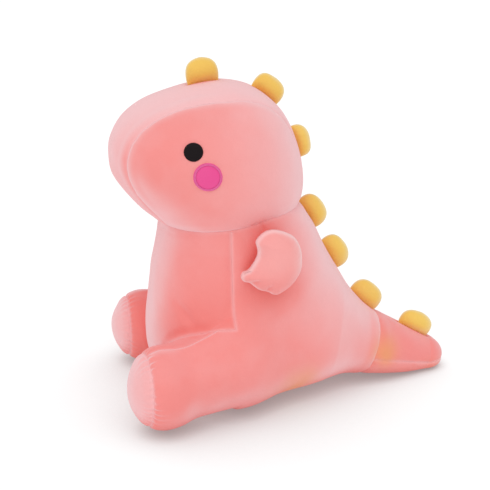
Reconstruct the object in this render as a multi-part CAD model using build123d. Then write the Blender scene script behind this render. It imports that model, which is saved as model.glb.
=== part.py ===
"""Sitting stuffed dinosaur: sewn fabric panels over fibre stuffing, one solid per sewn piece.

Units mm.  +Z up, the animal faces -Y, its own left side is +X.  The origin lies on the ground,
on the plane of symmetry, under the middle of the body.
"""
from build123d import *
import math
import os
import numpy as np

# ---------------------------------------------------------------- fabric and seams
FABRIC = 3.0            # thickness of the plush fabric, pile included
GAP = 0.4               # clearance between stuffing and fabric
SEAM = 0.12             # half of the slit between two neighbouring panels
INSIDE = -FABRIC        # offset of the inner face of the fabric
STUFFING = -FABRIC - GAP        # offset of the surface of the stuffing
SIDES = ((1, "left"), (-1, "right"))    # sign of x, name

# ---------------------------------------------------------------- head
# three blended ellipsoids: centre y, centre z, radii x y z
HEAD_SKULL = (-16.4, 268.0, 100.1, 86.7, 89.6)
HEAD_MUZZLE = (-71.1, 284.4, 84.6, 66.0, 58.9)
HEAD_CHEEKS = (-3.1, 245.1, 84.2, 75.5, 59.0)
MUZZLE_BLEND = 35.0
CHEEKS_BLEND = 25.0
HEAD_TOP = 357.6
HEAD_LEVELS = (200.0, 208.0, 218.0, 230.0, 245.0, 262.0, 280.0, 298.0, 314.0, 328.0, 340.0, 348.5)
HEAD_TOP_DROPS = (4.2, 0.9)     # depth of the last two rings below the top
GUSSET_HALF = 50.0      # half width of the strip that runs over the crown of the head

EYE_CENTRE = (88.5, -63.5, 301.9)       # left side
EYE_DIAMETER = 19.8
CHEEK_CENTRE = (95.9, -50.4, 276.5)     # left side
CHEEK_DIAMETER = 30.0
CHEEK_STITCH = 3.5      # width of the stitched edge
CHEEK_STITCH_GAP = 0.1
PATCH_INNER, PATCH_OUTER = 0.1, 1.2     # offsets of eyes and cheeks from the head surface
PATCH_TOOL_DEPTH = 28.0

# neck: a solid of revolution about the nodding axis, which runs along x
NECK_CENTRE = (0.0, -1.0, 165.0)
NECK_RADIUS = 95.0
NECK_HALF_WIDTH = 105.0
NECK_PLAY = 1.2
NECK_STEPS = 24
TORSO_SHOULDER_Z = 207.0        # above this the torso follows the neck

# ---------------------------------------------------------------- body
# superellipse sections at four heights, with a cubic through them
BODY_Z = (0.0, 70.0, 150.0, 235.0)
BODY_FRONT = (-84.0, -99.0, -93.3, -72.4)
BODY_BACK = (84.0, 117.0, 112.6, 63.9)
BODY_HALF = (88.0, 96.6, 92.9, 84.1)
BODY_POWER = 2.3
BODY_SECTION_TOP = 245.0        # the section stays the same above this height
BODY_TAIL_BLEND = 55.0
BODY_JOINT_BLEND = 8.0
BODY_LEVELS = (18.0, 40.0, 62.0, 86.0, 112.0, 140.0, 170.0, 200.0, 232.0, 268.0)
BODY_RING_Y = 15.0              # centre of the rings
INNER_BASE_Z = FABRIC - 1.5     # lowest ring of the inner body forms
BELLY_SEAM_Y = -23.0    # plane of the seam between belly and side panels
BASE_GAP = 0.2          # between the base panel and the panels above it

# leg stations along y: y, centre x, centre z, half width, half height
LEG = (
    (12.0, 58.0, 54.0, 38.0, 48.0), (-22.0, 80.0, 57.0, 45.0, 53.0),
    (-58.0, 88.0, 50.5, 43.0, 49.0), (-82.0, 93.0, 48.5, 41.5, 48.0),
    (-102.0, 96.0, 48.0, 40.0, 47.6), (-118.0, 96.0, 47.5, 34.0, 42.0),
    (-128.0, 96.0, 47.0, 24.0, 30.0), (-133.0, 96.0, 46.5, 11.0, 14.0),
)
LEG_POWER = 2.15
LEG_LIFT = 0.3
LEG_TIP_SHIFT = 0.6     # share of the offset that moves the last station
LEG_STUFFING_BACK_Y = -14.0
LEG_STUFFING_FLOOR = FABRIC + 0.5
SOLE_SEAM_Y = -115.0

# ---------------------------------------------------------------- tail
# round cone lying on the ground: y, centre z, radius
TAIL_A = (96.8, 47.2, 67.8)
TAIL_B = (239.1, 12.0, 26.0)
TAIL_JOINT_Y = 160.0
TAIL_FRONT_Y = TAIL_JOINT_Y + 1.2
TAIL_SWING = 14.0       # swing allowance in degrees, sets the relief of the body's rear end
TAIL_RELIEF_SLOPE = 1.03        # scales the relief planes to about a true distance
TAIL_LEVELS = (66.0, 96.0, 126.0, 156.0, 186.0, 212.0, 234.0, 250.0, 259.0)
TAIL_END_Y = 263.5
TAIL_ROUND_Y = 230.0    # the rounded tip starts here
TAIL_ROUND_LENGTH = 36.0
TAIL_TIP_Z = 13.0       # lowest centre height within the tip
TAIL_WIDENING = 1.02    # width over height
TAIL_GUSSET_TOP = 9.0
TAIL_GUSSET_GAP = 0.2

# ---------------------------------------------------------------- arms
# pillow outline seen from the side (y, z), scaled about the centre at each station
ARM_CENTRE = (27.0, 180.0)
ARM_OUTLINE = (
    (14.0, 214.0), (24.0, 219.0), (36.0, 217.0), (49.0, 206.0), (56.0, 190.0), (55.0, 172.0),
    (45.0, 158.0), (33.0, 151.0), (23.0, 150.0), (14.0, 152.0), (5.0, 156.0), (-6.0, 160.0),
    (-11.0, 165.0), (-6.0, 171.0), (2.0, 178.0), (8.0, 190.0), (9.0, 202.0),
)
# x, scale of the outline; the first three stations form the half next to the body
ARM_STATIONS = ((98.5, 0.62), (101.0, 0.86), (107.0, 1.0),
                (113.5, 0.995), (120.0, 0.84), (122.5, 0.60))
ARM_INNER_STATIONS = 3
ARM_X_SHIFT = 0.9       # share of the offset that moves the stations along x
ARM_MID_X = 110.0       # seam between inner and outer cover
ARM_CORE_X = (100.0, 117.0)     # limits of the stuffing
SHOULDER_START = (91.6, 25.0, 196.0)
SHOULDER_RADII = (7.5, 11.0)    # at the body, at the arm
SHOULDER_LENGTH = 8.6

# claw stitches: point y, z and direction y, z in which it points into the arm
CLAW_STITCHES = ((20.5, 150.5, -0.25, 1.0), (2.5, 157.2, 0.55, 0.8))
CLAW_SETBACK = 2.2      # from that point back against the direction
CLAW_RADIUS = 0.9
CLAW_LENGTH = 13.0

# ---------------------------------------------------------------- spikes
SPIKE_THICK = 24.0
SPIKE_FABRIC = 1.8
SPIKE_STUFFING = -2.0   # offset of the stuffing
# foot y, z on the centre line, outward tilt from +Z towards +Y in degrees, length along the back
SPIKES = (
    (-32.9, 357.9, -4.3, 36.0), (34.6, 341.0, 37.0, 38.0), (70.0, 287.1, 71.0, 38.0),
    (89.0, 201.2, 58.1, 41.0), (116.4, 150.0, 57.0, 42.0), (159.2, 92.0, 42.7, 43.0),
    (226.5, 48.3, 29.8, 44.0),
)
# height above the foot, share of the thickness, share of the length
SPIKE_STATIONS = ((1.3, 0.20, 0.86), (4.0, 0.55, 0.98), (9.0, 0.93, 1.0), (14.0, 1.0, 0.94),
                  (18.5, 0.84, 0.77), (22.0, 0.52, 0.50), (23.8, 0.2, 0.2))
SPIKE_TOP_STATION = 5   # from here on the stations sink with the offset
SPIKE_MIN_HALF_THICK = 1.2
SPIKE_MIN_HALF_LENGTH = 2.0


# ---------------------------------------------------------------- fields, negative inside
def ellipsoid(point, centre, radii):
    rel = point - np.array(centre)
    radii = np.array(radii)
    scaled = np.sqrt(((rel / radii) ** 2).sum(-1)) + 1e-9
    slope = np.sqrt(((rel / (radii * radii)) ** 2).sum(-1)) + 1e-9
    return scaled * (scaled - 1) / slope


def soft_min(a, b, blend):
    share = np.clip(0.5 + 0.5 * (b - a) / blend, 0, 1)
    return b * (1 - share) + a * share - blend * share * (1 - share)


def head_field(point):
    skull, muzzle, cheeks = [ellipsoid(point, (0, part[0], part[1]), part[2:])
                             for part in (HEAD_SKULL, HEAD_MUZZLE, HEAD_CHEEKS)]
    return soft_min(soft_min(skull, muzzle, MUZZLE_BLEND), cheeks, CHEEKS_BLEND)


def body_profile(z, values):
    """Cubic through the values at the four heights BODY_Z."""
    total = 0.0
    for i in range(4):
        weight = 1.0
        for j in range(4):
            if j != i:
                weight *= (z - BODY_Z[j]) / (BODY_Z[i] - BODY_Z[j])
        total += weight * values[i]
    return total


def body_field(point):
    """Body superellipse blended into the root of the tail and stopped at the tail joint."""
    x, y, z = point
    section_z = min(z, BODY_SECTION_TOP)
    front, back, half_width = [body_profile(section_z, values)
                               for values in (BODY_FRONT, BODY_BACK, BODY_HALF)]
    mid_y, half_depth = (front + back) / 2, (back - front) / 2
    scaled = ((abs(x) / half_width) ** BODY_POWER
              + (abs(y - mid_y) / half_depth) ** BODY_POWER + 1e-9) ** (1 / BODY_POWER)
    lump = (scaled - 1) * min(half_width, half_depth)

    run, rise, widening = [b - a for a, b in zip(TAIL_A, TAIL_B)]
    dy, dz = y - TAIL_A[0], z - TAIL_A[1]
    t = np.clip((dy * run + dz * rise) / (run ** 2 + rise ** 2), 0, 1)
    cone = (np.sqrt(x ** 2 + (dy - t * run) ** 2 + (dz - t * rise) ** 2)
            - (TAIL_A[2] + widening * t))

    relief = abs(x) * math.tan(math.radians(TAIL_SWING))
    joint = (y + relief - TAIL_JOINT_Y) / TAIL_RELIEF_SLOPE
    return -soft_min(-soft_min(lump, cone, BODY_TAIL_BLEND), -joint, BODY_JOINT_BLEND)


# ---------------------------------------------------------------- solid and boolean helpers
def loft_rings(rings):
    return Solid.make_loft([
        Wire([Edge.make_spline([Vector(*point) for point in ring], periodic=True)])
        for ring in rings])


def field_ring(field, offset, centre_y, z, count, reach, turn=0.0):
    """Horizontal ring on the offset surface of a field, found by bisection along rays."""
    points = []
    for i in range(count):
        angle = 2 * math.pi * (i + turn) / count
        ray = np.array([math.cos(angle), math.sin(angle), 0.0])
        low, high = 0.0, reach
        for _ in range(40):
            mid = 0.5 * (low + high)
            if field(np.array([0, centre_y, z]) + mid * ray) - offset < 0:
                low = mid
            else:
                high = mid
        points.append((low * ray[0], centre_y + low * ray[1], z))
    return points


def block(x=(-300, 300), y=(-300, 400), z=(-10, 420)):
    """Box between limits; the default limits lie clear of the pieces it is used on."""
    return Solid.make_box(x[1] - x[0], y[1] - y[0], z[1] - z[0], Plane((x[0], y[0], z[0])))


def span(side, near, far):
    """Limits in x on one side of the plane of symmetry."""
    return (near, far) if side > 0 else (-far, -near)


def tidy(result):
    """A boolean result as one shape."""
    if isinstance(result, (Solid, Compound)):
        return result
    solids = list(result.solids())
    return solids[0] if len(solids) == 1 else Compound(children=solids)


def minus(shape, *tools):
    for tool in tools:
        shape = tidy(shape.cut(tool))
    return shape


def common(first, second):
    return tidy(first.intersect(second))


def fuse(shape, *others):
    for other in others:
        shape = tidy(shape.fuse(other))
    return shape


def by_volume(shape):
    return sorted(shape.solids(), key=lambda solid: -solid.volume)


def save(name, shape, keep=1):
    """Write the largest solids of a shape."""
    solids = by_volume(shape)[:keep]
    piece = solids[0] if len(solids) == 1 else Compound(children=solids)
    piece.label = name
    export_step(piece, f"parts/{name}.step")


# ---------------------------------------------------------------- forms; offset > 0 grows them
def head_form(offset):
    levels = [*HEAD_LEVELS, *(HEAD_TOP + offset - drop for drop in HEAD_TOP_DROPS)]
    rings = []
    for z in levels:
        # ring centres move forward with height
        centre_y = -22.0 - 14.0 * max(0.0, min(1.0, (z - 215) / 90.0))
        rings.append(field_ring(head_field, offset, centre_y, z, count=28, reach=160.0))
    return loft_rings(rings)


def neck_form(offset):
    """Solid of revolution about the nodding axis."""
    cx, cy, cz = NECK_CENTRE
    points = []
    for i in range(NECK_STEPS + 1):
        angle = math.pi * i / NECK_STEPS
        points.append(Vector(cx - (NECK_HALF_WIDTH + offset) * math.cos(angle), cy,
                             cz + (NECK_RADIUS + offset) * math.sin(angle)))
    arc = Edge.make_spline(points, tangents=[Vector(0, 0, 1), Vector(0, 0, -1)])
    face = Face(Wire([arc, Edge.make_line(points[-1], points[0])]))
    return Solid.revolve(face, 360, Axis(NECK_CENTRE, (1, 0, 0)))


def body_form(offset, base_z):
    return loft_rings([
        field_ring(body_field, offset, BODY_RING_Y, z, count=32, reach=260.0, turn=0.5)
        for z in (base_z, *BODY_LEVELS)])


def torso_form(offset, base_z):
    """Body whose top is rounded by the neck form."""
    above = block((-200, 200), (-200, 200), (TORSO_SHOULDER_Z, 420))
    around_neck = minus(above, neck_form(0.0))
    return by_volume(minus(body_form(offset, base_z), around_neck))[0]


def leg_form(offset, side):
    rings = []
    for i, (y, centre_x, centre_z, half_width, half_height) in enumerate(LEG):
        if i == len(LEG) - 1:
            y -= offset * LEG_TIP_SHIFT
        points = []
        for j in range(20):
            angle = 2 * math.pi * j / 20
            c, s = math.cos(angle), math.sin(angle)
            k = (abs(c) ** LEG_POWER + abs(s) ** LEG_POWER) ** (-1 / LEG_POWER)
            points.append((side * (centre_x + (half_width + offset) * k * c), y,
                           centre_z + (half_height + offset) * k * s + LEG_LIFT))
        rings.append(points)
    return loft_rings(rings)


def tail_section(y):
    """Centre height and radius of the tail cone."""
    t = (y - TAIL_A[0]) / (TAIL_B[0] - TAIL_A[0])
    return [a + (b - a) * t for a, b in zip(TAIL_A[1:], TAIL_B[1:])]


def tail_form(offset):
    rings = []
    for y in (*TAIL_LEVELS, TAIL_END_Y + offset):
        centre_z, radius = tail_section(y)
        if y > TAIL_ROUND_Y:
            u = (y - TAIL_ROUND_Y) / TAIL_ROUND_LENGTH
            radius = tail_section(TAIL_ROUND_Y)[1] * math.sqrt(1 - u * u)
            centre_z = max(centre_z, TAIL_TIP_Z)
        radius += offset
        angles = [2 * math.pi * i / 20 for i in range(20)]
        rings.append([(radius * TAIL_WIDENING * math.cos(a), y, centre_z + radius * math.sin(a))
                      for a in angles])
    return loft_rings(rings)


def arm_form(offset, side):
    rings = []
    for i, (x, scale) in enumerate(ARM_STATIONS):
        shift = offset * ARM_X_SHIFT
        x = x - shift if i < ARM_INNER_STATIONS else x + shift
        points = []
        for y, z in ARM_OUTLINE:
            dy, dz = y - ARM_CENTRE[0], z - ARM_CENTRE[1]
            r = math.hypot(dy, dz)
            k = (r * scale + offset) / r
            points.append((side * x, ARM_CENTRE[0] + dy * k, ARM_CENTRE[1] + dz * k))
        rings.append(points)
    return loft_rings(rings)


def spike_form(y, z, tilt, length, offset):
    """Padded half-disc: narrow sewn foot, full belly, round top, as rings across its normal."""
    a = math.radians(tilt)
    normal = np.array([0, math.sin(a), math.cos(a)])
    along = np.array([0, math.cos(a), -math.sin(a)])
    across = np.array([1, 0, 0])
    rings = []
    for i, (height, thick_share, length_share) in enumerate(SPIKE_STATIONS):
        half_thick = max(SPIKE_THICK / 2 * thick_share + offset, SPIKE_MIN_HALF_THICK)
        half_length = max(length / 2 * length_share + offset, SPIKE_MIN_HALF_LENGTH)
        if i == 0:
            height -= offset
        elif i >= SPIKE_TOP_STATION:
            height += offset
        points = []
        for j in range(16):
            q = 2 * math.pi * j / 16
            points.append(tuple(np.array([0, y, z]) + normal * height
                                + along * half_length * math.sin(q)
                                + across * half_thick * math.cos(q)))
        rings.append(points)
    return loft_rings(rings)


# ---------------------------------------------------------------- pieces
def build_head():
    socket = neck_form(NECK_PLAY)
    shell = minus(head_form(0.0), head_form(INSIDE), socket)
    head_y, head_z = (-200, 150), (150, 400)
    save("head_gusset", common(shell, block((-GUSSET_HALF, GUSSET_HALF), head_y, head_z)))
    for side, tag in SIDES:
        beside = block(span(side, GUSSET_HALF + 2 * SEAM, 200), head_y, head_z)
        save(f"head_side_{tag}", common(shell, beside))
    save("head_stuffing", minus(head_form(STUFFING), socket))


def face_disc(skin, centre, side, radius, hole_radius=0.0):
    """Disc or ring cut from the skin along the head's normal at the centre."""
    centre = np.array(centre)
    normal = np.array([head_field(centre + step) - head_field(centre - step)
                       for step in 0.5 * np.eye(3)])
    normal /= np.linalg.norm(normal)
    start = centre - normal * PATCH_TOOL_DEPTH / 2
    plane = Plane(origin=(side * start[0], start[1], start[2]),
                  z_dir=(side * normal[0], normal[1], normal[2]))
    tool = Solid.make_cylinder(radius, PATCH_TOOL_DEPTH, plane)
    if hole_radius:
        tool = minus(tool, Solid.make_cylinder(hole_radius, PATCH_TOOL_DEPTH, plane))
    return common(skin, tool)


def build_face():
    """Embroidered eyes and cheek patches that follow the curved side of the head."""
    skin = minus(head_form(PATCH_OUTER), head_form(PATCH_INNER))
    cheek_radius = CHEEK_DIAMETER / 2
    stitch_inner = cheek_radius - CHEEK_STITCH
    for side, tag in SIDES:
        save(f"eye_{tag}", face_disc(skin, EYE_CENTRE, side, EYE_DIAMETER / 2))
        save(f"cheek_{tag}",
             face_disc(skin, CHEEK_CENTRE, side, stitch_inner - CHEEK_STITCH_GAP))
        save(f"cheek_edge_stitch_{tag}",
             face_disc(skin, CHEEK_CENTRE, side, cheek_radius, stitch_inner))


def front_region(pad):
    """Region in front of the belly seam and inside the top seams of both legs, less pad."""
    seam_y = BELLY_SEAM_Y - pad
    above_legs = ([(99.0, seam_y), (99.0, -160)], 111.0, 400.0)
    between_legs = ([(80.0, seam_y), (86.0, -45), (92.0, -75), (96.0, -100), (96.0, -160)],
                    -10.0, 111.5)
    prisms = []
    for outline, z0, z1 in (above_legs, between_legs):
        loop = [(x - pad, y) for x, y in outline] + [(-x + pad, y) for x, y in reversed(outline)]
        wire = Wire.make_polygon([(x, y, z0 + pad) for x, y in loop], close=True)
        prisms.append(Solid.extrude(Face(wire), Vector(0, 0, z1 - z0)))
    return fuse(*prisms)


def build_body_and_legs():
    inner_body = body_form(INSIDE, INNER_BASE_Z)
    legs = [leg_form(0.0, side) for side, _ in SIDES]
    inner_legs = [leg_form(INSIDE, side) for side, _ in SIDES]

    coat = minus(fuse(torso_form(0.0, 0.0), *legs), block(z=(-200, 0)))
    save("base_panel", common(coat, block(z=(-1, FABRIC))))
    coat = minus(coat, block(z=(-1, FABRIC + BASE_GAP)), inner_body, *inner_legs)

    sole_zone = block(y=(-300, SOLE_SEAM_Y), z=(-10, 150))
    sole_clearance = block(y=(-300, SOLE_SEAM_Y + 2 * SEAM), z=(-10, 150))
    front = minus(common(coat, front_region(SEAM)), sole_clearance)
    save("belly_panel", minus(front, *legs))
    for (side, tag), leg in zip(SIDES, legs):
        half_coat = common(coat, block(span(side, 0.1, 300)))
        save(f"leg_inner_panel_{tag}", common(front, leg))
        save(f"sole_{tag}", common(half_coat, sole_zone))
        save(f"side_panel_{tag}", minus(half_coat, front_region(-SEAM), sole_clearance))
        save(f"leg_stuffing_{tag}",
             minus(leg_form(STUFFING, side), inner_body, block(z=(-1, LEG_STUFFING_FLOOR)),
                   block(y=(LEG_STUFFING_BACK_Y, 400), z=(-10, 300))))
    save("torso_stuffing",
         minus(torso_form(STUFFING, INNER_BASE_Z), block(z=(-20, FABRIC + GAP))))


def build_tail():
    def behind(y, z):
        return block((-200, 200), (y, 400), (z, 300))

    # the inner form starts further forward, which leaves the shell open at the joint
    shell = minus(common(tail_form(0.0), behind(TAIL_FRONT_Y, 0)),
                  common(tail_form(INSIDE), behind(TAIL_FRONT_Y - 1, FABRIC)))
    save("tail_base_gusset",
         common(shell, block((-200, 200), (100, 400), (-5, TAIL_GUSSET_TOP))))
    for side, tag in SIDES:
        half = block(span(side, 0.1, 300), z=(TAIL_GUSSET_TOP + TAIL_GUSSET_GAP, 420))
        save(f"tail_panel_{tag}", common(shell, half))
    save("tail_stuffing", common(tail_form(STUFFING), behind(TAIL_FRONT_Y, FABRIC + GAP)))


def claw_stitches(side):
    """Bars along x, centred on the arm seam."""
    bars = []
    for y, z, dy, dz in CLAW_STITCHES:
        direction = np.array([dy, dz]) / math.hypot(dy, dz)
        start = np.array([y, z]) - direction * CLAW_SETBACK
        plane = Plane(origin=(side * (ARM_MID_X - CLAW_LENGTH / 2), start[0], start[1]),
                      z_dir=(side, 0, 0))
        bars.append(Solid.make_cylinder(CLAW_RADIUS, CLAW_LENGTH, plane))
    return Compound(children=bars)


def build_arm(side, tag):
    def arm_slice(near, far):
        return block(span(side, near, far), (-100, 200), (100, 300))

    inner_arm = arm_form(INSIDE, side)
    cover = minus(arm_form(0.0, side), inner_arm)
    # short shoulder neck that reaches from the arm to the side panel
    x, y, z = SHOULDER_START
    shoulder = Solid.make_cone(*SHOULDER_RADII, SHOULDER_LENGTH,
                               Plane(origin=(side * x, y, z), z_dir=(side, 0, 0)))
    save(f"arm_outer_{tag}", common(cover, arm_slice(ARM_MID_X + SEAM, 300)))
    save(f"arm_inner_{tag}", fuse(common(cover, arm_slice(80, ARM_MID_X - SEAM)),
                                  minus(shoulder, inner_arm)))
    save(f"arm_stuffing_{tag}",
         minus(common(arm_form(STUFFING, side), arm_slice(*ARM_CORE_X)), cover))
    save(f"claw_stitches_{tag}", claw_stitches(side), keep=2)


def build_spikes():
    for i, spike in enumerate(SPIKES, 1):
        save(f"spike_{i}_cover", minus(spike_form(*spike, 0.0), spike_form(*spike, -SPIKE_FABRIC)))
        save(f"spike_{i}_stuffing", spike_form(*spike, SPIKE_STUFFING))


os.makedirs("parts", exist_ok=True)
build_head()
build_face()
build_body_and_legs()
build_tail()
for arm_side, arm_tag in SIDES:
    build_arm(arm_side, arm_tag)
build_spikes()
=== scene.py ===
"""A sewn plush toy: big head, stuffed body and tail, flat arms and seven yellow spikes.

It sits on z = 0 and faces -Y; its left is +X and up is +Z. Shapes are worked out
in millimetres and become metres when a mesh is made.
"""

import math

import bpy
import numpy as np
from mathutils import Matrix, Vector
from mathutils.kdtree import KDTree


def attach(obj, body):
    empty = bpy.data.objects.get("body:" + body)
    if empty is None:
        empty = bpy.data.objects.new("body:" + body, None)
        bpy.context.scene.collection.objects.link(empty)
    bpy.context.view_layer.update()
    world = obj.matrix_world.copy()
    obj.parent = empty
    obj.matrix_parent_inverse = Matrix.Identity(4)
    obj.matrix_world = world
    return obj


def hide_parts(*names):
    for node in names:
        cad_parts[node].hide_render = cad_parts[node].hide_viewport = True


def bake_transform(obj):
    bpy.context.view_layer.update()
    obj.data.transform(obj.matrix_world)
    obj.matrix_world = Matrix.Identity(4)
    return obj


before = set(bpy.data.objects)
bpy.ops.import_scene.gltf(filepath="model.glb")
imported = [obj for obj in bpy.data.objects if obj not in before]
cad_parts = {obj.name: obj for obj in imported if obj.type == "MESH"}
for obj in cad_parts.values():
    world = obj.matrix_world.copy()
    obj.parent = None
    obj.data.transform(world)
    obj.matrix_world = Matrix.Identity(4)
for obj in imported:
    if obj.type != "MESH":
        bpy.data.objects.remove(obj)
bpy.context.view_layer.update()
MM = 0.001

# =============================================================  driving dimensions, mm
TORSO_STATIONS = (0.0, 70.0, 150.0, 235.0)  # heights of the torso sections
TORSO_FRONT = (-84.0, -99.0, -93.3, -72.4)  # y of the front at each station
TORSO_BACK = (82.1, 117.0, 112.6, 63.9)     # y of the back
TORSO_HALF_WIDTH = (88.0, 96.6, 92.9, 84.1)
TORSO_TOP = 262
TORSO_POWER = 2.3                           # superellipse exponent of a section

FOOT = (96.0, -103.0, 50.6)                 # centre of the left foot
RIGHT_FOOT_FORWARD = 12.0                   # the right leg reaches further out and forward
RIGHT_SOLE_OUT = 8.0

# (y, z, length along the back, height), from the crown to the tail
SPIKES = [
    (-32.9, 357.9, 36.0, 24.3), (34.6, 341.0, 38.0, 21.8), (70.0, 287.1, 38.0, 19.6),
    (87.9, 203.0, 41.0, 23.5), (115.8, 152.0, 42.0, 24.3), (159.2, 92.4, 43.0, 24.8),
    (226.5, 48.3, 44.0, 22.6),
]

# embroidered patches on the left of the head: edge height and extra dome over the skin
PATCHES = {
    "eye": dict(centre=(88.5, -63.5, 301.9), radius=9.9, height=0.9, dome=0.35),
    "cheek": dict(centre=(95.9, -50.4, 276.5), radius=15.0, height=0.55, dome=0.5),
}

SKIN_CELL = 3.2
SKIN_THICKNESS = 2.2


# =============================================================  small maths
def ease(t):
    return t * t * (3 - 2 * t)


def smoothstep(value, start, end):
    return ease(np.clip((value - start) / (end - start), 0, 1))


def bell(value, width):
    return np.exp(-(value / width) ** 2)


def blob(points, centre, radii):
    offset = (points - np.array(centre, float)) / np.array(radii, float)
    return np.exp(-(offset * offset).sum(1))


def mirrored(points):
    """The points folded on to the +X side."""
    return np.stack([np.abs(points[:, 0]), points[:, 1], points[:, 2]], 1)


def unit_rows(vectors):
    return vectors / np.linalg.norm(vectors, axis=1)[:, None]


LATTICE = np.random.default_rng(7).standard_normal((32, 32, 32))


def noise3(points, size, seed=0):
    """Smooth value noise on a repeating lattice."""
    scaled = points / size + 7.3 * seed + 100
    cell = np.floor(scaled).astype(int)
    f = ease(scaled - cell)
    total = 0
    for a in (0, 1):
        for b in (0, 1):
            for c in (0, 1):
                weight = ((f[:, 0] if a else 1 - f[:, 0]) * (f[:, 1] if b else 1 - f[:, 1])
                          * (f[:, 2] if c else 1 - f[:, 2]))
                corner = ((cell[:, 0] + a) % 32, (cell[:, 1] + b) % 32, (cell[:, 2] + c) % 32)
                total = total + weight * LATTICE[corner]
    return total


# =============================================================  shape fields, below 0 inside
def ellipsoid(points, centre, radii):
    offset = points - np.asarray(centre, float)
    radii = np.asarray(radii, float)
    reach = np.sqrt(((offset / radii) ** 2).sum(-1)) + 1e-9
    slope = np.sqrt(((offset / (radii * radii)) ** 2).sum(-1)) + 1e-9
    return reach * (reach - 1) / slope


def round_cone(points, start, end, start_radius, end_radius):
    start, end = np.asarray(start, float), np.asarray(end, float)
    axis = end - start
    offset = points - start
    t = np.clip((offset @ axis) / (axis @ axis), 0, 1)
    away = np.sqrt(((offset - t[:, None] * axis) ** 2).sum(-1))
    return away - (start_radius + (end_radius - start_radius) * t)


def smooth_min(first, second, width):
    share = np.clip(0.5 + 0.5 * (second - first) / width, 0, 1)
    return second * (1 - share) + first * share - width * share * (1 - share)


def through_stations(z, values):
    """The cubic through the values at the torso stations."""
    total = 0
    for i in range(4):
        weight = 1
        for j in range(4):
            if j != i:
                weight = (weight * (z - TORSO_STATIONS[j])
                          / (TORSO_STATIONS[i] - TORSO_STATIONS[j]))
        total = total + weight * values[i]
    return total


def head_field(points):
    skull = ellipsoid(points, (0, -16.4, 269.0), (100.1, 86.7, 92.4))
    muzzle = ellipsoid(points, (0, -71.1, 284.8), (84.6, 66.0, 58.9))
    jaw = ellipsoid(points, (0, -3.1, 245.1), (84.2, 75.5, 59.0))
    return smooth_min(smooth_min(skull, muzzle, 35), jaw, 25)


def torso_field(points):
    z = np.clip(points[:, 2], -10, TORSO_TOP)
    front = through_stations(z, TORSO_FRONT)
    back = through_stations(z, TORSO_BACK)
    width = through_stations(z, TORSO_HALF_WIDTH)
    half, middle = (back - front) / 2, (front + back) / 2
    power = TORSO_POWER
    reach = (np.abs(points[:, 0] / width) ** power
             + np.abs((points[:, 1] - middle) / half) ** power + 1e-9) ** (1 / power)
    return np.maximum((reach - 1) * np.minimum(width, half), points[:, 2] - TORSO_TOP)


def tail_field(points):
    return round_cone(points, (0, 96.8, 47.2), (0, 239.1, 12.0), 67.8, 26.0)


def leg_field(points):
    moved = points.copy()
    right = moved[:, 0] < 0
    moved[:, 0] = np.abs(moved[:, 0])
    share = np.clip(-moved[:, 1] / 100, 0, 1) * right
    moved[:, 0] -= share * 6.0
    moved[:, 1] -= share * RIGHT_FOOT_FORWARD
    moved[:, 2] *= 1 + 0.085 * share
    foot = ellipsoid(moved, FOOT, (39.0, 35.0, 44.8))
    thigh = round_cone(moved, (73.0, -20.0, 66.0), (91.5, -91.0, 49.0), 44.5, 40.0)
    return smooth_min(foot, thigh, 14)


def body_field(points):
    shape = smooth_min(torso_field(points), tail_field(points), 60)
    # the stuffed body rolls under to a smaller patch on the floor; the tail tip lies flatter
    back = np.clip((points[:, 1] - 110) / 110, 0, 1)
    shape = -smooth_min(-shape, points[:, 2], 66 - 52 * back * back * (3 - 2 * back))
    # the side panel runs smoothly on to the leg, the belly meets it in a crease
    outward = np.clip((np.abs(points[:, 0]) - 84) / 18, 0, 1)
    behind = np.clip((points[:, 1] + 40) / 25, 0, 1)
    soft = np.maximum(outward, behind)
    shape = smooth_min(shape, leg_field(points), 11 + 31 * soft * soft * (3 - 2 * soft))
    return -smooth_min(-shape, points[:, 2], 5)


def toy_field(points):
    """Head and body together, worked out in blocks to bound memory."""
    block = 400000
    out = np.empty(len(points))
    for i in range(0, len(points), block):
        part = points[i:i + block]
        out[i:i + block] = smooth_min(body_field(part), head_field(part), 5)
    return out


def gradient(points, step=0.4):
    axes = step * np.eye(3)
    return np.stack([toy_field(points + axes[k]) - toy_field(points - axes[k])
                     for k in range(3)], 1) / (2 * step)


def surface_normals(points):
    return unit_rows(gradient(points))


def project(points, rounds):
    """Moves points on to the toy's surface."""
    for _ in range(rounds):
        slope = gradient(points)
        scale = toy_field(points) / np.maximum((slope * slope).sum(1), 1e-6)
        points = points - scale[:, None] * slope
    return points


# =============================================================  triangle meshes
def triangle_edges(tris):
    return np.concatenate([tris[:, [0, 1]], tris[:, [1, 2]], tris[:, [2, 0]]])


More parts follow.
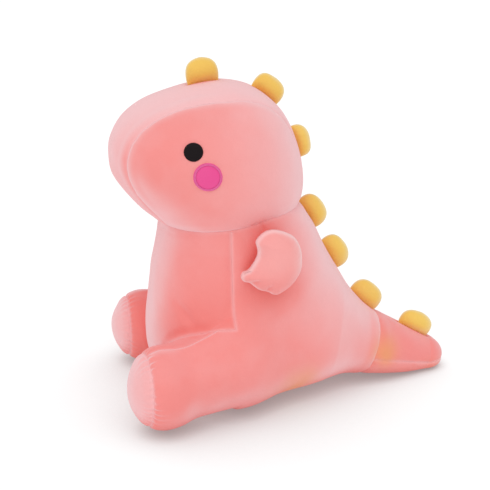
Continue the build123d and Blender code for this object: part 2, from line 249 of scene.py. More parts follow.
def surface_nets(low, high, cell):
    """Triangles over the zero level of the toy's field, one vertex per crossed cell."""
    axes = [np.arange(low[k], high[k] + cell, cell) for k in range(3)]
    count_x, count_y, count_z = map(len, axes)
    grid = np.stack(np.meshgrid(*axes, indexing="ij"), -1).reshape(-1, 3)
    value = toy_field(grid).reshape(count_x, count_y, count_z)
    grid = grid.reshape(count_x, count_y, count_z, 3)
    inside = value < 0
    corners = [(a, b, c) for a in (0, 1) for b in (0, 1) for c in (0, 1)]
    filled = np.zeros((count_x - 1, count_y - 1, count_z - 1), np.uint8)
    for a, b, c in corners:
        filled += inside[a:count_x - 1 + a, b:count_y - 1 + b, c:count_z - 1 + c]
    active = (filled > 0) & (filled < 8)
    cells = np.argwhere(active)
    index = -np.ones(active.shape, np.int64)
    index[active] = np.arange(len(cells))
    total = np.zeros((len(cells), 3))
    count = np.zeros(len(cells))
    for corner in corners:
        for k in range(3):
            if corner[k] == 1:
                continue
            other = list(corner)
            other[k] = 1
            near, far = tuple((cells + np.array(corner)).T), tuple((cells + np.array(other)).T)
            near_value, far_value = value[near], value[far]
            crossed = (near_value < 0) != (far_value < 0)
            t = (near_value / (near_value - far_value + 1e-12))[:, None]
            crossing = grid[near] * (1 - t) + grid[far] * t
            total[crossed] += crossing[crossed]
            count[crossed] += 1
    verts = total / count[:, None]

    quads = []
    for k in range(3):
        second, third = [(1, 2), (2, 0), (0, 1)][k]
        span = [slice(1, -1)] * 3
        span[k] = slice(0, -1)
        near = np.argwhere(np.ones_like(inside[tuple(span)]))
        near[:, second] += 1
        near[:, third] += 1
        far = near.copy()
        far[:, k] += 1
        near_inside = inside[tuple(near.T)]
        crossed = near_inside != inside[tuple(far.T)]
        near, near_inside = near[crossed], near_inside[crossed]
        around = []
        for step_second, step_third in ((-1, -1), (0, -1), (0, 0), (-1, 0)):
            neighbour = near.copy()
            neighbour[:, second] += step_second
            neighbour[:, third] += step_third
            around.append(index[tuple(neighbour.T)])
        around = np.stack(around, 1)
        around[~near_inside] = around[~near_inside][:, ::-1]
        quads.append(around)
    quads = np.concatenate(quads)
    quads = quads[(quads >= 0).all(1)]
    return verts, np.concatenate([quads[:, [0, 1, 2]], quads[:, [0, 2, 3]]])


def relax(verts, tris, rounds):
    """Evens out the vertices while keeping them on the surface."""
    edges = np.unique(np.sort(triangle_edges(tris), 1), axis=0)
    for _ in range(rounds):
        total = np.zeros_like(verts)
        count = np.zeros(len(verts))
        for a, b in ((0, 1), (1, 0)):
            np.add.at(total, edges[:, a], verts[edges[:, b]])
            np.add.at(count, edges[:, a], 1)
        verts = project(verts * 0.4 + 0.6 * total / count[:, None], 1)
    return project(verts, 2)


def split_edges(verts, tris, mark):
    """Splits triangles at marked edges; mark(edges) gives the marks and the new points."""
    edges, inverse = np.unique(np.sort(triangle_edges(tris), 1), axis=0, return_inverse=True)
    inverse = inverse.reshape(-1)
    marked, points = mark(edges)
    new = -np.ones(len(edges), np.int64)
    new[marked] = len(verts) + np.arange(marked.sum())
    verts = np.concatenate([verts, points[marked]])
    middles = np.stack(np.split(new[inverse], 3), 1)
    count = (middles >= 0).sum(1)
    out = [tris[count == 0]]
    old, mid = tris[count == 3], middles[count == 3]
    if len(old):
        out += [np.stack([old[:, k], mid[:, k], mid[:, k - 1]], 1) for k in range(3)] + [mid]
    for a in range(3):
        b, c = (a + 1) % 3, (a + 2) % 3
        chosen = (count == 1) & (middles[:, a] >= 0)
        old, mid = tris[chosen], middles[chosen]
        out += [np.stack([old[:, a], mid[:, a], old[:, c]], 1),
                np.stack([mid[:, a], old[:, b], old[:, c]], 1)]
        # marked edges a-b and b-c
        chosen = (count == 2) & (middles[:, c] < 0)
        old, mid = tris[chosen], middles[chosen]
        out += [np.stack([mid[:, a], old[:, b], mid[:, b]], 1),
                np.stack([old[:, a], mid[:, a], mid[:, b]], 1),
                np.stack([old[:, a], mid[:, b], old[:, c]], 1)]
    return verts, np.concatenate(out)


def refine_near_seams(verts, tris, band):
    """Halves the edges that have an end within the band round a seam."""
    near = np.stack([np.abs(line(verts)) for line in SEAM_LINES], 1).min(1)

    def mark(edges):
        close = np.minimum(near[edges[:, 0]], near[edges[:, 1]]) < band
        return close, 0.5 * (verts[edges[:, 0]] + verts[edges[:, 1]])

    return split_edges(verts, tris, mark)


def cut_along(verts, tris, line):
    """Splits triangles where the seam line's value is 0, sparing slivers."""
    value = line(verts)

    def mark(edges):
        a, b = value[edges[:, 0]], value[edges[:, 1]]
        crossed = (a * b < 0) & (np.abs(a) < 30) & (np.abs(b) < 30)
        t = np.where(crossed, a / np.where(crossed, a - b, 1), 0.5)
        crossed &= (t > 0.02) & (t < 0.98)
        return crossed, (verts[edges[:, 0]] * (1 - t[:, None])
                         + verts[edges[:, 1]] * t[:, None])

    return split_edges(verts, tris, mark)


def vertex_normals(verts, tris):
    facing = np.cross(verts[tris[:, 1]] - verts[tris[:, 0]], verts[tris[:, 2]] - verts[tris[:, 0]])
    total = np.zeros_like(verts)
    for k in range(3):
        np.add.at(total, tris[:, k], facing)
    return total / np.maximum(np.linalg.norm(total, axis=1), 1e-9)[:, None]


# =============================================================  seams as level sets
FAR = 99  # value where a seam does not reach

# angle round the head in the side view, degrees from straight ahead, and half width there
GUSSET_ANGLE = [-90, -75, -55, -40, -20, 0, 22, 45, 70, 90, 115, 140, 165, 190, 215]
GUSSET_HALF = [18, 23.6, 31, 37, 44, 49, 51.5, 53, 55, 55.8, 52, 45, 38, 34, 31]
# y and height of the neck seam
NECK_Y = [-110, -90, -75, -50, -20, -5, 10, 27, 47, 63, 90]
NECK_Z = [206.5, 207, 208.4, 211, 214.8, 218, 221.6, 224.6, 226.6, 227, 226]
# y and x of the seam along the top of the left leg
LEG_SEAM_Y = [-160, -115, -90, -68, -45, -23]
LEG_SEAM_X = [98, 99, 98, 97, 98, 96]
BELLY_EDGE_Y = -23


def neck_line(p):
    return p[:, 2] - np.interp(p[:, 1], NECK_Y, NECK_Z)


def gusset_line(p):
    angle = np.degrees(np.arctan2(p[:, 2] - 295, -(p[:, 1] + 20)))
    angle = np.where(angle < -120, angle + 360, angle)
    half = np.interp(angle, GUSSET_ANGLE, GUSSET_HALF)
    return np.where(p[:, 2] > 190, np.abs(p[:, 0]) - half, FAR)


def belly_line(p):
    return np.where(p[:, 2] < 232, p[:, 1] - BELLY_EDGE_Y, FAR)


def middle_line(p):
    return np.where((p[:, 1] > 20) & (p[:, 2] > 2), p[:, 0] + 1e-4, FAR)


def tail_line(p):
    return p[:, 1] - (157.5 + 0.40 * (p[:, 2] - 30))


def tail_base_height(p):
    return 12.0 + 24.0 * np.clip((240 - p[:, 1]) / 90, 0, 1)


def tail_base_line(p):
    return np.where(p[:, 1] > 145, p[:, 2] - tail_base_height(p), FAR)


def base_line(p):
    return p[:, 2] - 5.0


def leg_top_line(p):
    shift = (p[:, 0] < 0) * np.clip(-p[:, 1] / 100, 0, 1) * 8
    seam_x = np.interp(p[:, 1], LEG_SEAM_Y, LEG_SEAM_X) + shift
    return np.where((p[:, 1] < 0) & (p[:, 2] < 140), np.abs(p[:, 0]) - seam_x, FAR)


def leg_root_line(p):
    return np.where((p[:, 2] < 150) & (p[:, 1] < 5), torso_field(p) - leg_field(p), -FAR)


def sole_line(p):
    """The plane of each sole, toed out by 3 degrees."""
    right = p[:, 0] < 0
    sine, cosine = math.sin(math.radians(3.0)), math.cos(math.radians(3.0))
    return ((np.abs(p[:, 0]) - FOOT[0] - RIGHT_SOLE_OUT * right) * sine
            - (p[:, 1] + 119.5 - RIGHT_FOOT_FORWARD * right) * cosine)


SEAM_LINES = [neck_line, gusset_line, belly_line, middle_line, tail_line, tail_base_line,
              base_line, leg_top_line, leg_root_line, sole_line]
PANELS = [
    "head_gusset", "head_side_left", "head_side_right", "belly_panel", "side_panel_left",
    "side_panel_right", "leg_inner_panel_left", "leg_inner_panel_right", "sole_left",
    "sole_right", "base_panel", "tail_panel_left", "tail_panel_right", "tail_base_gusset",
]
(HEAD_GUSSET, HEAD_LEFT, HEAD_RIGHT, BELLY, SIDE_LEFT, SIDE_RIGHT, LEG_LEFT, LEG_RIGHT,
 SOLE_LEFT, SOLE_RIGHT, BASE, TAIL_LEFT, TAIL_RIGHT, TAIL_BASE) = range(len(PANELS))


def panel_at(p):
    """The index of the panel that covers each point."""
    left = p[:, 0] > 0
    front = p[:, 1] < BELLY_EDGE_Y
    leg = leg_root_line(p) > 0
    sole = (sole_line(p) > 0) & (p[:, 2] < 120) & leg
    panel = np.where(left, SIDE_LEFT, SIDE_RIGHT)
    panel = np.where(front & ~leg, BELLY, panel)
    panel = np.where(front & leg & (leg_top_line(p) < 0),
                     np.where(left, LEG_LEFT, LEG_RIGHT), panel)
    panel = np.where(sole, np.where(left, SOLE_LEFT, SOLE_RIGHT), panel)
    panel = np.where((base_line(p) < 0) & ~sole, BASE, panel)
    tail = np.where(p[:, 2] < tail_base_height(p), TAIL_BASE,
                    np.where(left, TAIL_LEFT, TAIL_RIGHT))
    panel = np.where(tail_line(p) > 0, tail, panel)
    head = np.where(gusset_line(p) < 0, HEAD_GUSSET, np.where(left, HEAD_LEFT, HEAD_RIGHT))
    return np.where(neck_line(p) > 0, head, panel)


# =============================================================  the sewn skin
def cut_skin():
    """The smooth skin, cut along every seam, with the panel of each triangle."""
    verts, tris = surface_nets((-146, -142, -6), (146, 274, 366), SKIN_CELL)
    verts = relax(verts, tris, 4)
    for band in (16.0, 8.0):
        verts, tris = refine_near_seams(verts, tris, band)
    verts = project(verts, 2)
    for line in SEAM_LINES:
        verts, tris = cut_along(verts, tris, line)
    verts = project(verts, 1)
    return verts, tris, panel_at(verts[tris].mean(1))


def nearest_seam(verts, tris, panel):
    """For each vertex: distance to the closest seam and the two panels it joins."""
    edges, inverse = np.unique(np.sort(triangle_edges(tris), 1), axis=0, return_inverse=True)
    inverse = inverse.reshape(-1)
    edge_panel = np.concatenate([panel] * 3)
    lowest = np.full(len(edges), len(PANELS))
    highest = np.full(len(edges), -1)
    np.minimum.at(lowest, inverse, edge_panel)
    np.maximum.at(highest, inverse, edge_panel)
    on_seam = lowest != highest
    ends = edges[on_seam]
    pairs = np.stack([lowest[on_seam], highest[on_seam]], 1)
    points = np.concatenate([0.5 * (verts[ends[:, 0]] + verts[ends[:, 1]]), verts[ends[:, 0]]])
    pairs = np.concatenate([pairs, pairs])
    tree = KDTree(len(points))
    for i, point in enumerate(points):
        tree.insert(Vector(point), i)
    tree.balance()
    distance = np.empty(len(verts))
    closest = np.empty(len(verts), int)
    for i, point in enumerate(verts):
        _, closest[i], distance[i] = tree.find(Vector(point))
    return distance, pairs[closest]


def sole_puckers(verts, distance):
    """Gathers round the soles, about 7 mm apart, running away from the seam."""
    side = np.sign(verts[:, 0])
    foot_x = side * (FOOT[0] + RIGHT_SOLE_OUT * (side < 0))
    arc = np.arctan2(verts[:, 2] - 46.0, (verts[:, 0] - foot_x) * side) * 38.0
    wobble = noise3(np.stack([arc, side * 40, 0 * arc], 1), 9.0, 3)
    wave = np.cos(2 * np.pi * arc / 7.2 + 1.1 * wobble)
    strength = 0.95 + 0.45 * noise3(np.stack([arc, side * 90, 0 * arc], 1), 13.0, 5)
    fade = np.exp(-np.abs(distance - 2.0) / 6.0)
    upper = 0.45 + 0.55 * np.clip((verts[:, 2] - 2) / 20, 0, 1)
    return np.where(side > 0, 0.9, 0.55) * wave * strength * fade * upper


def seam_relief(verts, distance, pairs, on_sole, on_base, on_neck):
    """Height of the cloth over the smooth skin from seams, puckers and stuffing."""
    depth = np.full(len(verts), 1.2)
    depth[on_neck] = 1.9
    depth[on_sole] = 1.5
    depth[pairs[:, 0] == BELLY] = 0.8
    depth[on_base] = 1.0
    relief = -depth * np.exp(-(distance / 1.9) ** 1.2)
    relief += 0.55 * np.exp(-((distance - 9) / 6.0) ** 2)
    relief += np.where(on_sole, sole_puckers(verts, distance), 0)
    # finer, weaker puckers on the other seams
    relief += np.where(~on_sole, 0.22 * noise3(verts, 7.0, 9) * np.exp(-distance / 5.0), 0)
    # uneven stuffing
    relief += 0.9 * noise3(verts, 46.0, 1) * np.clip(distance / 18, 0, 1)
    relief += 0.35 * noise3(verts, 21.0, 2) * np.clip(distance / 14, 0, 1)
    return relief


# creases on the left side, mirrored on the right: start, end, half width, depth
CREASES = [
    ((62, -78, 130), (80, -62, 108), 6.0, 2.6),
    ((84, -56, 104), (60, -80, 92), 7.0, 2.0),
    ((86, 10, 222), (87, 17, 196), 2.6, 1.8),
    ((50, 168, 50), (50, 160, 30), 5.0, 1.3),
    ((90, -22, 112), (95, -8, 92), 7.0, 1.2),
]


def crease_relief(verts):
    relief = np.zeros(len(verts))
    for side in (1, -1):
        flip = np.array([side, 1.0, 1.0])
        for start, end, width, depth in CREASES:
            start, end = start * flip, end * flip
            axis = end - start
            t = np.clip(((verts - start) @ axis) / (axis @ axis), 0, 1)
            away = np.linalg.norm(verts - start - t[:, None] * axis, axis=1)
            along = 0.35 + 0.65 * np.sin(np.pi * np.clip(t, 0.05, 0.95))
            relief -= depth * bell(away, width) * along
        # a shallow dimple beside the middle, under the chin
        relief -= 1.5 * blob(verts, (side * 12, -86, 214), (10, 10, 10))
    return relief


def seat_spikes():
    """Each spike's root on the skin, its outward and lengthwise directions, and its size."""
    seats = []
    for y, z, length, height in SPIKES:
        root = np.array([0.0, y, z])
        slope = gradient(root[None])[0]
        tilt = math.atan2(slope[1], slope[2])
        outward = np.array([0, math.sin(tilt), math.cos(tilt)])
        along = np.array([0, math.cos(tilt), -math.sin(tilt)])
        for _ in range(12):
            root = root - outward * toy_field(root[None])[0]
        seats.append((root, outward, along, length, height))
    return seats


def seat_patches():
    """Side, kind, centre on the skin and outward direction of each eye and cheek."""
    seats = []
    for side in (1, -1):
        for kind, patch in PATCHES.items():
            x, y, z = patch["centre"]
            centre = project(np.array([[side * x, y, z]]), 4)
            seats.append((side, kind, centre[0], surface_normals(centre)[0]))
    return seats


def attachment_relief(verts, spike_seats, patch_seats):
    """The skin sinks along each spike root, and the embroidery pulls it in."""
    relief = np.zeros(len(verts))
    for root, _, along, length, _ in spike_seats:
        offset = verts - root
        t = np.clip(offset @ along, -length / 2 + 1, length / 2 - 1)
        relief -= 1.6 * bell(np.linalg.norm(offset - t[:, None] * along, axis=1), 3.4)
    for _, kind, centre, _ in patch_seats:
        radius = PATCHES[kind]["radius"]
        away = np.linalg.norm(verts - centre, axis=1)
        relief -= 0.9 * bell(away - radius, 1.8) + 0.5 * np.exp(-(away / radius) ** 6)
    return relief


smooth_skin, skin_tris, skin_panel = cut_skin()
seam_distance, seam_pairs = nearest_seam(smooth_skin, skin_tris, skin_panel)
near_sole = np.isin(seam_pairs, (SOLE_LEFT, SOLE_RIGHT)).any(1)
near_base = (seam_pairs == BASE).any(1)
near_neck = (seam_pairs[:, 0] <= HEAD_RIGHT) & (seam_pairs[:, 1] >= BELLY)
near_tail = (seam_pairs[:, 1] >= TAIL_LEFT) & (seam_pairs[:, 0] < BASE)
SPIKE_SEATS = seat_spikes()
PATCH_SEATS = seat_patches()
skin_relief = (
    seam_relief(smooth_skin, seam_distance, seam_pairs, near_sole, near_base, near_neck)
    + crease_relief(smooth_skin)
    + attachment_relief(smooth_skin, SPIKE_SEATS, PATCH_SEATS))
skin = smooth_skin + surface_normals(smooth_skin) * skin_relief[:, None]
skin[:, 2] = np.maximum(skin[:, 2], 0.0)
skin_normals = vertex_normals(skin, skin_tris)


# =============================================================  mesh helpers
def add_mesh(name, verts, faces, material, flat_from=None):
    """An object from points in millimetres; faces from flat_from on are flat shaded."""
    mesh = bpy.data.meshes.new(name)
    points = (np.asarray(verts) * MM).tolist()
    mesh.from_pydata([tuple(v) for v in points], [], [tuple(f) for f in faces])
    mesh.update()
    obj = bpy.data.objects.new(name, mesh)
    bpy.context.scene.collection.objects.link(obj)
    smooth = np.ones(len(mesh.polygons), bool)
    if flat_from is not None:
        smooth[flat_from:] = False
    mesh.polygons.foreach_set("use_smooth", smooth)
    mesh.materials.append(material)
    return obj


def add_attribute(obj, name, values):
    attribute = obj.data.attributes.new(name, "FLOAT", "POINT")
    attribute.data.foreach_set("value", np.asarray(values, np.float32))


def tube_walls(rings, segments, closed=False):
    """Quads between rings of points; a closed tube joins its last ring to the first."""
    faces = []
    for i in range(rings if closed else rings - 1):
        here, there = i * segments, (i + 1) % rings * segments
        for j in range(segments):
            k = (j + 1) % segments
            faces.append((here + j, here + k, there + k, there + j))
    return faces


def tube_caps(rings, segments):
    last = (rings - 1) * segments
    return [tuple(range(segments))[::-1], tuple(last + j for j in range(segments))]


def reverse(faces):
    return [face[::-1] for face in faces]


def turn_over(quads):
    """Reverses quads but keeps the corner each one starts at."""
    return [(a, d, c, b) for a, b, c, d in quads]


def double_disc(rings, segments):
    """A centre point and rings, the same turned over behind, and a rim between the two."""
    front = []
    for j in range(segments):
        k = (j + 1) % segments
        front.append((0, 1 + j, 1 + k))
        for i in range(rings - 1):
            near, far = 1 + i * segments, 1 + (i + 1) * segments
            front.append((near + j, far + j, far + k, near + k))
    count = 1 + rings * segments
    last = count - segments
    back = [tuple(count + v for v in face[::-1]) for face in front]
    rim = []
    for j in range(segments):
        k = last + (j + 1) % segments
        rim.append((last + j, count + last + j, count + k, k))
    return front + back + rim


def add_cloth(name, tris, attributes):
    """A closed cloth panel: skin faces, the same turned over inside, and a rim."""
    used, inverse = np.unique(tris, return_inverse=True)
    faces = inverse.reshape(tris.shape)
    outer = skin[used]
    inner = outer - skin_normals[used] * SKIN_THICKNESS
    count = len(used)
    edges = triangle_edges(faces)
    _, which, uses = np.unique(np.sort(edges, 1), axis=0, return_inverse=True,
                               return_counts=True)
    border = edges[uses[which.reshape(-1)] == 1].tolist()
    rim = [[b, a, a + count, b + count] for a, b in border]
    obj = add_mesh(name, np.concatenate([outer, inner]),
                   faces.tolist() + (faces[:, ::-1] + count).tolist() + rim,
                   PINK, flat_from=2 * len(faces))
    for key, values in attributes.items():
        add_attribute(obj, key, np.tile(values[used], 2))
    return obj


# =============================================================  materials
def srgb(*levels):
    """Linear colour from 0-255 sRGB levels."""
    return tuple((v / 255) / 12.92 if v / 255 <= 0.04045 else ((v / 255 + 0.055) / 1.055) ** 2.4
                 for v in levels)


class Shader:
    """Short calls for building a node tree; a value may be a socket, number or colour."""

    def __init__(self, tree):
        self.tree = tree

    @classmethod
    def of(cls, material):
        material.use_nodes = True
        material.node_tree.nodes.clear()
        return cls(material.node_tree)

    def feed(self, socket, value):
        if isinstance(value, bpy.types.NodeSocket):
            self.tree.links.new(value, socket)
        elif isinstance(value, tuple) and len(value) == 3:
            socket.default_value = value + (1.0,)
        else:
            socket.default_value = value

    def fill(self, node, inputs):
        for key, value in inputs.items():
            self.feed(node.inputs[key], value)

    def node(self, kind, inputs=None, **settings):
        node = self.tree.nodes.new(kind)
        for key, value in settings.items():
            setattr(node, key, value)
        self.fill(node, inputs or {})
        return node

    def mix(self, factor, first, second):
        # sockets 6 and 7 are the colour pair of a Mix node, output 2 its colour
        return self.node("ShaderNodeMix", {0: factor, 6: first, 7: second},
                         data_type="RGBA", blend_type="MIX").outputs[2]

    def calc(self, operation, first, second, clamp=False):
        return self.node("ShaderNodeMath", {0: first, 1: second}, operation=operation,
                         use_clamp=clamp).outputs[0]

    def remap(self, value, source=(0.0, 1.0), target=(0.0, 1.0), kind="LINEAR"):
        inputs = {0: value, 1: source[0], 2: source[1], 3: target[0], 4: target[1]}
        return self.node("ShaderNodeMapRange", inputs, interpolation_type=kind).outputs[0]

    def ramp(self, value, low, high):
        return self.remap(value, source=(low, high), kind="SMOOTHSTEP")

    def noise(self, place, scale, detail=2.0, roughness=0.5):
        return self.node("ShaderNodeTexNoise", {
            "Vector": place, "Scale": scale, "Detail": detail, "Roughness": roughness,
        }).outputs[0]

    def attribute(self, name):
        return self.node("ShaderNodeAttribute", attribute_name=name).outputs["Fac"]

    def occlusion(self, distance, samples):
        return self.node("ShaderNodeAmbientOcclusion", {"Distance": distance},
                         samples=samples).outputs["AO"]

    def bump(self, height, strength, distance, **under):
        return self.node("ShaderNodeBump", {
            "Strength": strength, "Distance": distance, "Height": height, **under,
        }).outputs[0]

    def principled(self):
        output = self.node("ShaderNodeOutputMaterial")
        surface = self.node("ShaderNodeBsdfPrincipled")
        self.feed(output.inputs[0], surface.outputs[0])
        return surface


def plush(name, base, deep, light, warm_reflection=None, seam_highlight_strength=0.35, painted_sheen=0.9, occlusion=0.75):
    """Short brushed pile: deeper where the pile lies away and where painted shade fills the folds,
    paler with painted sheen at grazing angles.

    The three strength arguments, in order, set the painted highlight on the seam edges,
    the painted sheen at grazing angles and the painted shade in folds.
    """
    material = bpy.data.materials.new(name)
    sh = Shader.of(material)
    surface = sh.principled()
    place = sh.node("ShaderNodeTexCoord").outputs["Object"]
    # brushed patches: large soft fields, as pile that was stroked two ways
    large = sh.ramp(sh.noise(place, scale=9.0, roughness=0.4), low=0.38, high=0.64)
    medium = sh.ramp(sh.noise(place, scale=30.0, detail=2.5), low=0.40, high=0.66)
    fine = sh.noise(place, scale=1000.0, roughness=0.6)
    color = sh.mix(sh.calc("MULTIPLY", large, 0.30), base, deep)
    color = sh.mix(sh.calc("MULTIPLY", medium, 0.07), color, light)
    color = sh.mix(sh.calc("MULTIPLY", fine, 0.12), color, deep)
    # per-vertex tone: panels cut with the pile running another way look paler or deeper, and the
    # same tone also carries painted light and painted shade; deeper tone weakens the painted sheen
    pile_and_light_tone = sh.attribute("pile_and_light_tone")
    away = sh.calc("MULTIPLY", pile_and_light_tone, -1.0, clamp=True)
    color = sh.mix(sh.calc("MAXIMUM", pile_and_light_tone, 0.0, clamp=True), color, light)
    color = sh.mix(away, color, deep)
    painted_sheen_share = sh.calc("MULTIPLY", sh.calc("SUBTRACT", 1.0, away), painted_sheen)
    # painted highlight: pile on the two edges of a seam stands up and reads as a pale line
    seam = sh.attribute("seam")
    color = sh.mix(sh.calc("MULTIPLY", seam, seam_highlight_strength), color, light)
    # grazing bloom of the pile
    # painted sheen: the pile turns paler at grazing angles
    facing = sh.node("ShaderNodeLayerWeight", {0: 0.5}).outputs["Facing"]
    grazing = sh.ramp(facing, low=0.15, high=0.82)
    color = sh.mix(sh.calc("MULTIPLY", grazing, painted_sheen_share), color, light)
    # painted shade: folds and contact zones turn deeper by ambient occlusion, as light trapped
    # between the fibres would make them, less on the seams
    hidden = sh.calc("SUBTRACT", 1.0, sh.occlusion(distance=0.06, samples=6))
    keep = sh.calc("SUBTRACT", occlusion, sh.calc("MULTIPLY", seam, occlusion * 0.8), clamp=True)
    fold_shade_colour = tuple(v * share for v, share in zip(deep, (1.0, 0.66, 0.58)))
    color = sh.mix(sh.calc("MULTIPLY", sh.ramp(hidden, low=0.22, high=0.74), keep), color, fold_shade_colour)
    # painted warm reflection low on the sides and round the root of the tail
    if warm_reflection:
        color = sh.mix(sh.calc("MULTIPLY", sh.attribute("warm_reflection"), 0.85), color, warm_reflection)
    fibres = sh.bump(fine, strength=0.35, distance=0.0007)
    tufts = sh.noise(place, scale=160.0, detail=3.0, roughness=0.6)
    sh.fill(surface, {
        "Base Color": color,
        "Roughness": 0.85,
        "Specular IOR Level": 0.12,
        "Sheen Weight": 0.22,
        "Sheen Roughness": 0.45,
        "Sheen Tint": light,
        "Normal": sh.bump(tufts, strength=0.22, distance=0.003, Normal=fibres),
    })
    return material


def thread(name, base, light, wave_scale=1500.0, roughness=0.35, specular=0.3):
    """Satin thread: fine bands of light and dark."""
    material = bpy.data.materials.new(name)
    sh = Shader.of(material)
    surface = sh.principled()
    place = sh.node("ShaderNodeTexCoord").outputs["Object"]
    bands = sh.node("ShaderNodeTexWave", {
        "Vector": place, "Scale": wave_scale / 6.28, "Distortion": 1.2,
    }, wave_type="BANDS", bands_direction="Z").outputs["Fac"]
    color = sh.mix(sh.calc("MULTIPLY", bands, 0.35), base, light)
    color = sh.mix(sh.calc("MULTIPLY", sh.noise(place, scale=240.0), 0.3), color, base)
    sh.fill(surface, {
        "Base Color": color,
        "Roughness": roughness,
        "Specular IOR Level": specular,
        "Sheen Weight": 0.05,
        "Normal": sh.bump(bands, strength=0.5, distance=0.0004),
    })
    return material


PINK = plush("pink_velboa", srgb(243, 150, 147), srgb(240, 130, 124), srgb(244, 202, 205),
             warm_reflection=srgb(238, 160, 112))
PINK_LIGHT = plush("pink_velboa_arm", srgb(244, 166, 163), srgb(240, 142, 138),
                   srgb(246, 208, 209), seam_highlight_strength=0.6, painted_sheen=0.8)
YELLOW = plush("yellow_velboa", srgb(241, 202, 104), srgb(236, 182, 84), srgb(242, 222, 172),
               seam_highlight_strength=0.3, occlusion=0.12)
MAGENTA = plush("magenta_patch", srgb(236, 90, 152), srgb(224, 62, 138), srgb(238, 128, 178),
                seam_highlight_strength=0.3, occlusion=0.2)
BLACK = thread("black_satin_stitch", srgb(16, 9, 12), srgb(34, 24, 28),
               roughness=0.6, specular=0.12)
PINK_THREAD = thread("magenta_satin_stitch", srgb(226, 78, 150), srgb(248, 170, 206),
                     wave_scale=2400)
CLAW_THREAD = thread("pink_sewing_thread", srgb(232, 120, 118), srgb(246, 190, 190),
                     wave_scale=3000)


# =============================================================  skin panels
def skin_warm_reflection():
    """Painted warm reflection: warmer colour low on the sides and round the root of the tail."""
    folded = mirrored(skin)
    z = skin[:, 2]
    warm_reflection_share = 1.0 * blob(folded, (90, 52, 32), (70, 26, 19))
    warm_reflection_share += 1.25 * blob(folded, (50, 171, 40), (60, 17, 17))
    warm_reflection_share += 0.25 * np.clip((24 - z) / 24, 0, 1) * np.clip((skin[:, 1] - 160) / 30, 0, 1)
    return np.clip(warm_reflection_share * (0.75 + 0.35 * noise3(skin, 22.0, 6)), 0, 1)


def painted_seam_highlight():
    # painted highlight along the seams, weaker at the neck, tail and base
    strength = np.where(near_neck, 0.7, np.where(near_tail, 0.3, 1.0))
    return bell(seam_distance, 2.0) * np.where(near_base, 0.3, strength)


def side_pile_and_light_tone():
    # painted sheen paler towards the back and top, painted shade under the arm, deeper at the hip
    # with less painted sheen, deeper low on the front of the leg and paler low on its outer side
    _, y, z = skin.T
    folded = mirrored(skin)
    back = smoothstep(y, -20, 150) * smoothstep(z, 20, 170)
    shade_under_arm = blob(folded, (96, 16, 145), (60, 30, 17))
    hip = blob(folded, (110, 28, 50), (60, 34, 34))
    leg = (1 - smoothstep(z, 30, 80)) * (1 - smoothstep(y, -60, 10))
    low_leg = blob(folded, (120, -50, 20), (60, 30, 14))
    return np.clip(0.02 + 0.66 * back - 0.9 * shade_under_arm - 0.45 * hip - 0.20 * leg
                   + 0.25 * low_leg, -1, 1)


def belly_pile_and_light_tone():
    # paler high at the front; painted shade deepens the low belly towards the leg crease
    front = np.clip((-skin[:, 1] - 60) / 40, 0, 1)
    low = np.clip((190 - skin[:, 2]) / 90, 0, 1)
    return 0.04 + 0.12 * front * (1 - low) - 0.85 * low * (1 - front)


def panel_pile_and_light_tone(name):
    """Pile direction per panel, with painted light and painted shade: above 0 it looks paler,
    below 0 deeper.
    """
    # painted light: the head gusset pales towards the top
    if name == "head_gusset":
        return -0.20 + 0.92 * smoothstep(skin[:, 2], 262, 345)
    # painted sheen: the head sides pale towards the back
    if name.startswith("head_side"):
        return 0.02 + 0.46 * smoothstep(skin[:, 1], -90, 60)
    if name.startswith("side"):
        return side_pile_and_light_tone()
    if name == "belly_panel":
        return belly_pile_and_light_tone()
    # paler soles, deeper tail panels, and painted shade on the inner legs
    flat_pile_and_light_tones = {"sole": 0.50, "tail_panel": -0.45, "leg_inner": -0.65}
    pile_and_light_tone = next((v for start, v in flat_pile_and_light_tones.items() if name.startswith(start)), 0.0)
    return np.full(len(skin), pile_and_light_tone)


def build_panels():
    warm_reflection_share, seam_highlight_share = skin_warm_reflection(), painted_seam_highlight()
    panels = {}
    for k, name in enumerate(PANELS):
        tris = skin_tris[skin_panel == k]
        if not len(tris):
            raise RuntimeError("empty panel " + name)
        panels[name] = add_cloth("skin_" + name, tris, {
            "seam": seam_highlight_share, "warm_reflection": warm_reflection_share, "pile_and_light_tone": panel_pile_and_light_tone(name)})
    return panels


def rig_panels(panels):
    stuffing = {
        "head_gusset": ["head_stuffing"],
        "belly_panel": ["torso_stuffing"],
        "tail_panel_left": ["tail_stuffing"],
        "leg_inner_panel_left": ["leg_stuffing_left"],
        "leg_inner_panel_right": ["leg_stuffing_right"],
    }
    for name, obj in panels.items():
        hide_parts(name, *stuffing.get(name, []))
        if name.startswith(("head", "belly", "side")):
            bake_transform(obj)
        elif name.startswith("tail"):
            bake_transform(obj)
        else:
            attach(obj, "torso")


rig_panels(build_panels())

# =============================================================  eyes and cheeks
PATCH_RINGS, PATCH_SEGMENTS = 14, 72
STITCHES, STITCH_SEGMENTS = 220, 8
STITCH_RING = 0.87  # radius of the cheek's stitched ring, as a share of the cheek's


def circle(centre, normal, radius, count):
    """Directions and points of a circle round the normal."""
    across = np.cross((0, 0, 1.0), normal)
    across /= np.linalg.norm(across)
    above = np.cross(normal, across)
    angles = [2 * math.pi * j / count for j in range(count)]
    directions = np.array([across * math.cos(t) + above * math.sin(t) for t in angles])
    return directions, centre + radius * directions


